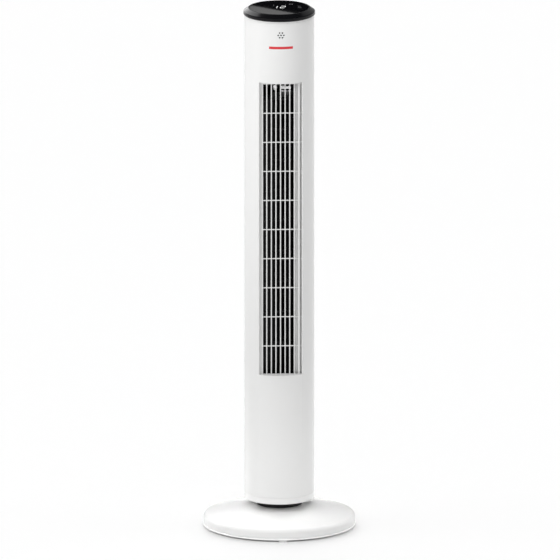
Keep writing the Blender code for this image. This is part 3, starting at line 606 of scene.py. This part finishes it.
def make_grille():
    """A flat grid behind the opening: upright bars in front, cross bars set back between them.

    Behind it stand a white lip on each side, and a ledge closes the opening at each end.
    """
    low_box, high_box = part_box("outlet_grille")
    front, back = GRILLE_FRONT, high_box.y
    last = 4                           # bars on each side of the middle one
    pitch, width, outer_width = 0.00887, 0.0021, 0.0036
    marks = [low_box.x, -GRILLE_FRAME]
    for number in range(-last, last + 1):
        half = (outer_width if abs(number) == last else width) / 2
        marks += [number * pitch - half, number * pitch + half]
    marks += [GRILLE_FRAME, high_box.x]
    cross_bars, cross_pitch, cross_bar = 9, 0.0577, 0.0018
    top_bar, top_edge = 0.8269, 0.8844
    heights = [low_box.z, OUTLET_LOW]
    for number in reversed(range(cross_bars)):
        middle = top_bar - number * cross_pitch
        heights += [middle - cross_bar / 2, middle + cross_bar / 2]
    heights += [top_edge, high_box.z]
    last_row = len(heights) - 2
    depths = [front, front + 0.0008, back - 0.0004, back]

    def is_solid(i, j, k):
        if j in (0, last_row) or i % 2 == 0:
            return True
        return j % 2 == 0 and k == 1

    grid = cells(marks, heights, depths, lambda x, z, y: (x, y, z), is_solid)
    piece = new_piece("outlet_grille_bars", grid, LOOKS["white_plastic"], "tower",
                      ["outlet_grille"])
    soften(piece, 0.00045, 3)
    lip_thick, left_lip_edge, right_lip_edge = 0.0015, -0.0376, 0.0288
    lips = (("outlet_lip_left", -GRILLE_FRAME, left_lip_edge, front + 0.0004),
            ("outlet_lip_right", right_lip_edge, GRILLE_FRAME, back + 0.0035))
    for name, left, right, face_y in lips:
        strip = box_between(left, right, face_y, face_y + lip_thick, OUTLET_LOW, top_edge)
        soften(new_piece(name, strip, LOOKS["white_plastic"], "tower"), 0.0003, 2)
    reach = TOWER_R - TOWER_WALL - FIT
    meet = math.asin(-(front - FIT) / reach)
    sweep = spread(math.pi + meet, math.tau - meet, 40)
    rim = [(reach * math.cos(angle), reach * math.sin(angle)) for angle in sweep]
    ledge_thick = 0.002
    ledges = (("outlet_ledge_lower", OUTLET_LOW - ledge_thick - FIT),
              ("outlet_ledge_upper", OUTLET_HIGH + FIT))
    for name, low in ledges:
        ledge = new_piece(name, extruded(rim, low, low + ledge_thick), LOOKS["white_plastic"], "tower")
        soften(ledge, 0.0003, 2)


# ------------------------------------------------------------------ the head of the tower
def make_trim_ring():
    """The ring under the cap, with a skirt that goes down inside the shells."""
    low, high = SHELL_TOP + FIT, top_of("trim_ring")
    inner = 0.060
    skirt, skirt_low = TOWER_R - TOWER_WALL - FIT, 1.004
    outline = eased([(TOWER_R, low, 0.0004), (TOWER_R, high, 0.0005), (inner, high, 0.0),
                     (inner, skirt_low, 0.0), (skirt, skirt_low, 0.0), (skirt, low, 0.0)], 4)
    new_piece("trim_ring_skin", turned(outline), LOOKS["white_plastic"], "tower",
              ["trim_ring"])


def make_top_cap():
    """The rounded rim about the panel, with the shelf that the panel lies on."""
    inner = PANEL_R + FIT
    low = CAP_LOW
    shelf_r, shelf_top, shelf_low = 0.050, CAP_TOP - 0.0034, CAP_TOP - 0.0059
    outline = eased([
        (CAP_R - 0.0014, low, 0.0004), (CAP_R, low + 0.0016, 0.0014),
        (CAP_R - 0.0006, low + 0.0070, 0.0016), (inner + 0.0020, CAP_TOP, 0.0010),
        (inner, CAP_TOP, 0.0002), (inner, shelf_top, 0.0), (shelf_r, shelf_top, 0.0),
        (shelf_r, shelf_low, 0.0), (0.061, shelf_low, 0.0), (0.062, low, 0.0)], 8, 0.0002)
    new_piece("top_cap_skin", turned(outline), CAP_GLOSS, "tower", ["top_cap"])


def make_touch_panel():
    low = bottom_of("touch_panel")
    outline = eased([(0, low, 0.0), (PANEL_R, low, 0.0), (PANEL_R, PANEL_TOP, 0.0003),
                     (0, PANEL_TOP, 0.0)], 4, 0.0003)
    new_piece("touch_panel_glass", turned(outline), LOOKS["gloss_black"], "tower",
              ["touch_panel"])


# each segment of a digit runs from one corner to another: columns 0 and 1, rows 0, 1 and 2
SEGMENTS = {"a": ((0, 2), (1, 2)), "b": ((1, 2), (1, 1)), "c": ((1, 1), (1, 0)), "d": ((0, 0), (1, 0)),
            "e": ((0, 0), (0, 1)), "f": ((0, 1), (0, 2)), "g": ((0, 1), (1, 1))}
DIGITS = {"1": "bc", "2": "abged"}


def make_digit(name, digit, x, y, width, height, slant):
    """A seven-segment digit printed just above the panel; x and y are its lower left corner."""
    stroke, gap, thick = 0.0011, 0.0004, 0.00012
    made = bmesh.new()
    for key in DIGITS[digit]:
        (u0, v0), (u1, v1) = SEGMENTS[key]
        start = Vector((u0 * width, v0 * height / 2))
        stop = Vector((u1 * width, v1 * height / 2))
        along = (stop - start).normalized()
        side = Vector((-along.y, along.x)) * stroke / 2
        start += along * gap
        stop -= along * gap
        inset = along * stroke / 2
        corners = [start, start + inset + side, stop - inset + side,
                   stop, stop - inset - side, start + inset - side]
        verts = [made.verts.new((x + p.x + slant * p.y, y + p.y, PANEL_TOP + PRINT_LIFT)) for p in corners]
        face = made.faces.new(verts)
        top = bmesh.ops.extrude_face_region(made, geom=[face])
        raised = [item for item in top["geom"] if isinstance(item, bmesh.types.BMVert)]
        bmesh.ops.translate(made, verts=raised, vec=(0, 0, thick))
    new_piece(name, made, DIGIT_GLOW, "tower", sharp=20.0)


def make_display():
    """Two lit digits, upright as seen from the front."""
    width, height, slant = 0.0085, 0.0170, 0.16
    low = -0.0050
    make_digit("display_digit_1", "1", -0.0140, low, width, height, slant)
    make_digit("display_digit_2", "2", 0.0015, low, width, height, slant)


def make_icons():
    """Faint touch marks on the panel: short dashes, dots and a ring, with no lettering."""
    low = PANEL_TOP + PRINT_LIFT
    high = low + PRINT_THICK
    dash_width, dot_r, ring_r, ring_inner = 0.0009, 0.0007, 0.0038, 0.0031
    marks = []
    for row in range(3):
        marks.append(moved(dash(0.008 - 0.0015 * row, dash_width, low), 0.039, -0.004 + 0.007 * row))
    for row in range(3):
        marks.append(moved(disc(dot_r, low, high, 16), -0.010, 0.022 - 0.005 * row))
    ring = turned([(ring_r, low), (ring_r, high), (ring_inner, high), (ring_inner, low)], SMALL)
    marks.append(moved(ring, 0.024, 0.026))
    for number, mark in enumerate(marks, 1):
        new_piece(f"touch_mark_{number}", mark, ICON_PRINT, "tower", sharp=20.0)


def dash(length, width, low):
    """A short printed line along X."""
    made = bmesh.new()
    bmesh.ops.create_cube(made, size=1.0)
    middle = Matrix.Translation((0, 0, low + PRINT_THICK / 2))
    shape = middle @ Matrix.Diagonal((length, width, PRINT_THICK, 1.0))
    bmesh.ops.transform(made, matrix=shape, verts=made.verts)
    return made


def make_badge():
    """A plain red bar on the front, set into the shell's face."""
    half_angle = math.radians(20)
    low, high = 0.9585, 0.9635
    sunk, proud = 0.0002, 0.00015
    angles = spread(-half_angle, half_angle, 24)
    wall = cell_wall(angles, [low, high], [TOWER_R - sunk, TOWER_R + proud], lambda i, j, k: True)
    piece = new_piece("front_badge", wall, BADGE_RED, "tower")
    soften(piece, 0.00012, 2)


# ------------------------------------------------------------------ inside the outlet
def make_impeller():
    """Segments of curved blades between thin rings, as one closed body."""
    blades, segments = 30, 9
    step = math.tau / blades
    width = math.radians(2.6)
    angles = []
    for number in range(blades):
        angles += [number * step, number * step + width]
    low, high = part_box("impeller")[0].z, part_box("impeller")[1].z
    outer = (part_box("impeller")[1].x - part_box("impeller")[0].x) / 2
    leans = {outer - 0.008: 10.0, outer - 0.0055: 8.0, outer - 0.003: 4.5, outer: 0.0}  # degrees by radius
    plate = 0.0025                     # thickness of a ring
    pitch = (high - low - plate) / segments
    heights = [low]
    for number in range(segments):
        heights += [low + number * pitch + plate, low + (number + 1) * pitch]
    heights.append(high)

    def on_drum(angle, height, radius):
        return round_about(angle + math.radians(leans[radius]), height, radius)

    drum = cells(angles, heights, list(leans), on_drum, lambda i, j, k: i % 2 == 0 or j % 2 == 0, True)
    new_piece("impeller_drum", moved(drum, IMPELLER_X, IMPELLER_Y), LOOKS["black_plastic"], "impeller",
              ["impeller"])


def make_bearing():
    """The retainer over the upper bearing: a white drop-shaped hub, bar and front edge, with the flange and a web
    under the bar in black as painted shade, where the gap under the bar lies in shadow.
    """
    low_box, high_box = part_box("bearing_retainer")
    seat, top = low_box.z, high_box.z
    flange_top = seat + 0.0014
    bar_low, bar_high = 0.8624, 0.8668
    bar_left, bar_right = IMPELLER_X + 0.010, high_box.x - 0.0002
    bar_front, bar_back = IMPELLER_Y - 0.0034, IMPELLER_Y + 0.0030
    web_inset, web_thick = 0.002, 0.002
    # the flange is black as painted shade: its top lies in shadow under the bar
    flange = box_between(low_box.x, high_box.x, low_box.y, high_box.y, seat, flange_top)
    piece = new_piece("retainer_flange_painted_shade", flange, LOOKS["black_plastic"], "tower",
                      ["bearing_retainer"])
    soften(piece, 0.0004, 2)
    drop = eased([(0, seat, 0.0), (0.0022, seat, 0.0), (0.0030, seat + 0.0030, 0.002),
                  (0.0038, top - 0.0030, 0.002), (0.0024, top, 0.001), (0, top, 0.0)], 4)
    hub = new_piece("retainer_hub", moved(turned(drop, SMALL), IMPELLER_X, IMPELLER_Y), RETAINER_WHITE,
                    "tower")
    bar = box_between(bar_left, bar_right, bar_front, bar_back, bar_low, bar_high)
    # a black web filling the gap under the bar: painted shade
    web = box_between(bar_left + web_inset, high_box.x - web_inset, IMPELLER_Y, IMPELLER_Y + web_thick,
                      flange_top - 0.0002, bar_low + 0.0002)
    new_piece("retainer_shade_web", web, LOOKS["black_plastic"], "tower")
    bar = new_piece("retainer_bar", bar, RETAINER_WHITE, "tower")
    soften(bar, 0.0005, 2)
    edge = box_between(bar_left, bar_right, low_box.y - 0.0006, low_box.y + 0.0004,
                       seat + 0.0002, flange_top)
    edge = new_piece("retainer_edge", edge, RETAINER_WHITE, "tower")
    soften(edge, 0.0002, 2)
    return [hub, bar, edge]


def make_shade_band():
    """A black band round the upper end of the duct, above the impeller: painted shade over the white walls there,
    which lie in shadow.
    """
    low, high = 0.8590, 0.8960
    inner, outer = 0.0415, 0.0423
    angles = spread(math.radians(45), math.radians(315), 60)
    wall = cell_wall(angles, [low, high], [inner, outer], lambda i, j, k: True)
    # black: painted shade at the duct's upper end
    new_piece("duct_painted_shade", moved(wall, IMPELLER_X, IMPELLER_Y), LOOKS["black_plastic"], "tower")


def paint_model_pieces():
    """Give every model piece that stays in view the procedural finish of its slot."""
    slots = {entry["node"]: entry["material_slot"] for entry in frame["record"]["subparts"]}
    for name, piece in frame["nodes"].items():
        for index in range(len(piece.material_slots)):
            piece.material_slots[index].material = LOOKS[slots[name]]


# ------------------------------------------------------------------ the studio
def make_stage():
    """The floor."""
    half_side = 30.0
    mesh = bpy.data.meshes.new("floor")
    made = bmesh.new()
    bmesh.ops.create_grid(made, x_segments=1, y_segments=1, size=half_side)
    made.to_mesh(mesh)
    made.free()
    floor = bpy.data.objects.new("floor", mesh)
    bpy.context.scene.collection.objects.link(floor)
    mesh.materials.append(surface("floor_white", (0.985, 0.985, 0.985), 0.9, depth=0.0, vary=0.002,
                                  specular=0.1))
    return floor


def make_world(strength):
    """An even white surround, which glossy surfaces don't reflect."""
    world = bpy.data.worlds.new("studio")
    world.use_nodes = True
    background = world.node_tree.nodes["Background"]
    background.inputs["Color"].default_value = (1.0, 1.0, 1.0, 1.0)
    background.inputs["Strength"].default_value = strength
    bpy.context.scene.world = world
    world.cycles_visibility.glossy = False


def area_light(name, place, aim, size, power, beam=None, receivers=None):
    """A rectangular lamp aimed at a point; beam is the angle in degrees that it is held to."""
    data = bpy.data.lights.new(name, "AREA")
    data.shape = "RECTANGLE"
    data.size, data.size_y = size
    data.energy = power
    if beam:
        data.spread = math.radians(beam)
    lamp = bpy.data.objects.new(name, data)
    bpy.context.scene.collection.objects.link(lamp)
    lamp.location = place
    lamp.rotation_euler = (Vector(aim) - Vector(place)).to_track_quat("-Z", "Y").to_euler()
    lamp.visible_camera = False
    if receivers:
        lamp.light_linking.receiver_collection = receivers
    return lamp


def sun_light(name, elevation, spread_angle, strength, turn=0.0):
    """Light from a round patch of sky: at 90 degrees straight above, lower down towards the back.

    The turn, in degrees, takes it round to the left.
    """
    data = bpy.data.lights.new(name, "SUN")
    data.angle = math.radians(spread_angle)
    data.energy = strength
    lamp = bpy.data.objects.new(name, data)
    bpy.context.scene.collection.objects.link(lamp)
    lamp.location = (0.0, 0.0, 3.0)
    lamp.rotation_euler = (math.radians(elevation - 90.0), 0.0, math.radians(turn))
    lamp.visible_glossy = False
    return lamp


# strengths of the world and of the sun lamps
SKY = 0.3
SKY_SUN = 1.07
BACK_SUN = 1.5
SIDE_SUN = 0.55
FAN_SKY_SUN = 0.68
FAN_TOP_SUN = 0.95
# directions and widths of the sun lamps, in degrees
STRAIGHT_UP = 90.0
SKY_WIDTH = 120.0
TOP_WIDTH = 40.0
LOW_SUN, LOW_SUN_WIDTH = 28.0, 44.0
# lamps on the fan: name, place, point aimed at, side, watts, beam in degrees
FAN_LAMPS = (
    ("key", (-1.085, -0.943, 1.32), (0.0, 0.0, 0.85), 0.7, 2.02, 76),
    ("high_beam", (-0.12, -1.2, 1.05), (0.0, -0.03, 0.02), 0.3, 0.013, 17),
    ("low_beam", (-0.45, -1.2, 0.16), (0.0, -0.08, 0.03), 0.3, 0.052, 18),
    ("left_beam", (-1.2, -0.2, 0.8), (-0.05, 0.0, 0.02), 0.3, 0.047, 18),
    ("right_beam", (1.2, -0.45, 0.6), (0.05, -0.03, 0.02), 0.3, 0.047, 18),
    ("rear_left_beam", (-0.8, 0.9, 0.9), (-0.08, 0.07, 0.03), 0.3, 0.24, 18),
    ("rear_right_beam", (0.8, 0.9, 0.9), (0.07, 0.05, 0.03), 0.3, 0.14, 18),
)
BEARING_POWER = 2.0
# panels that the head reflects: name, place from the middle of the cap's top, radiance
REFLECTED = (("left", (-0.52, 1.1, 0.62), 2.5), ("right", (0.62, 1.1, 0.50), 0.4))
REFLECTED_SIZE = (1.1, 1.4)
CARD_SIZE = (0.3, 0.06)
CARD_RADIANCE = 0.45
CARD_DISTANCE = 1.2
CARD_DIRECTION = (0.0492, 0.971, 0.234)  # from the panel to the card, about a unit long
CARD_ANGLE = -41.2                 # degrees that the card's edge is turned on the panel
CARD_MIDDLE = (-0.015, -0.012)     # where the middle of that edge shows on the panel


def make_soft_sky(floor, base_parts):
    """An even sky over everything, and low light on the floor alone that only the base blocks."""
    make_world(SKY)
    sun_light("sky", STRAIGHT_UP, SKY_WIDTH, SKY_SUN)
    lit = bpy.data.collections.new("lit_floor_only")
    lit.objects.link(floor)
    blockers = bpy.data.collections.new("shading_the_floor")
    for part in base_parts:
        blockers.objects.link(part)
    sides = (("back", 0.0, BACK_SUN), ("left", 90.0, SIDE_SUN), ("right", -90.0, SIDE_SUN))
    for name, turn, strength in sides:
        lamp = sun_light(f"floor_{name}", LOW_SUN, LOW_SUN_WIDTH, strength, turn)
        lamp.light_linking.receiver_collection = lit
        lamp.light_linking.blocker_collection = blockers


def make_fan_lights(floor):
    """The light on the fan alone: more sky, a key from the front left, and beams on the foot."""
    lit = bpy.data.collections.new("lit_fan_only")
    lit.objects.link(floor)
    lit.collection_objects[0].light_linking.link_state = "EXCLUDE"
    for name, width, strength in (("fan_sky", SKY_WIDTH, FAN_SKY_SUN), ("fan_top", TOP_WIDTH, FAN_TOP_SUN)):
        lamp = sun_light(name, STRAIGHT_UP, width, strength)
        lamp.light_linking.receiver_collection = lit
    for name, place, aim, side, power, beam in FAN_LAMPS:
        lamp = area_light(name, place, aim, (side, side), power, beam, lit)
        lamp.visible_glossy = False


def light_bearing(floor, pieces):
    """Light that reaches only the white pieces of the upper bearing."""
    place, aim, side = (0.0, -0.35, 1.15), (0.0, 0.0, 0.865), 0.1
    lit = bpy.data.collections.new("lit_bearing_only")
    for piece in pieces:
        lit.objects.link(piece)
    lamp = area_light("bearing_light", place, aim, (side, side), BEARING_POWER, receivers=lit)
    shading = bpy.data.collections.new("shading_the_bearing")
    shading.objects.link(floor)
    lamp.light_linking.blocker_collection = shading


def make_reflections():
    """Panels that are only seen in the gloss of the head."""
    cap_top = Vector((0.0, 0.0, CAP_TOP))
    for name, place, radiance in REFLECTED:
        power = radiance * math.pi * REFLECTED_SIZE[0] * REFLECTED_SIZE[1]
        panel = area_light(f"reflected_{name}", cap_top + Vector(place), cap_top, REFLECTED_SIZE, power)
        panel.visible_diffuse = False
    turn = math.radians(CARD_ANGLE)
    inward = Vector((math.sin(turn), -math.cos(turn), 0.0))
    length, depth = CARD_SIZE
    place = Vector((*CARD_MIDDLE, CAP_TOP)) + inward * depth / 2 + Vector(CARD_DIRECTION) * CARD_DISTANCE
    power = CARD_RADIANCE * math.pi * length * depth
    card = area_light("reflected_card", place, place - Vector((0, 0, 1)), CARD_SIZE, power)
    card.rotation_euler = (0.0, 0.0, turn)
    card.visible_diffuse = False


def make_lights(floor, base_parts, bearing_parts):
    """All the light; the two lists are the pieces that shade the floor and the pieces lit on their own."""
    make_soft_sky(floor, base_parts)
    light_bearing(floor, bearing_parts)
    make_fan_lights(floor)
    make_reflections()


def make_camera():
    """A long view from just above: no perspective, looking down by about 13.5 degrees."""
    elevation, azimuth = math.radians(13.53), math.radians(-2.9)
    target = Vector((0.00135, 0.0, 0.4847))
    distance, view_height, far_end = 8.0, 1.080, 60.0
    away = Vector((math.sin(azimuth) * math.cos(elevation), -math.cos(azimuth) * math.cos(elevation),
                   math.sin(elevation)))
    data = bpy.data.cameras.new("camera")
    data.type = "ORTHO"
    data.ortho_scale = view_height
    data.clip_end = far_end
    camera = bpy.data.objects.new("camera", data)
    bpy.context.scene.collection.objects.link(camera)
    camera.location = target + away * distance
    camera.rotation_euler = (-away).to_track_quat("-Z", "Y").to_euler()
    bpy.context.scene.camera = camera


def main():
    bpy.context.scene.view_settings.view_transform = "Standard"
    make_camera()
    make_lights(make_stage(), make_base(), make_bearing())
    paint_model_pieces()
    make_feet()
    make_neck()
    make_bottom_cap()
    make_front_shell()
    make_rear_shell()
    make_grip()
    make_shell_screws()
    make_grille()
    make_trim_ring()
    make_top_cap()
    make_touch_panel()
    make_display()
    make_icons()
    make_badge()
    make_impeller()
    make_shade_band()


main()
